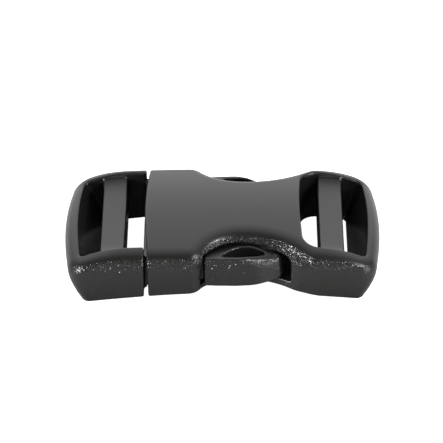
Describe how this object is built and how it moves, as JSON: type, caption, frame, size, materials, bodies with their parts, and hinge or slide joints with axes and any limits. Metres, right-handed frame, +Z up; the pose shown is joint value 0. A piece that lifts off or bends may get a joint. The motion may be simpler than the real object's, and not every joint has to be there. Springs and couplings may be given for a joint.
{
  "type": "side release buckle",
  "caption": "Contoured side release buckle for narrow webbing, shown fastened: a plug with two sprung release buttons in a waisted socket, with a strap bar at each end.",
  "frame": {"origin": "centre of the bounding box's underside, between the two ends that the buckle rests on", "axes": "+X along the strap towards the socket's end, +Y across the buckle, +Z up through the roof"},
  "size_m": [0.041, 0.0206, 0.0087],
  "materials": {
    "black_acetal": "moulded acetal, satin on the roof and bars, fine spark eroded grain on the sides"
  },
  "bodies": {
    "root": {"socket": "black_acetal", "plug": "black_acetal"}
  },
  "joints": []
}
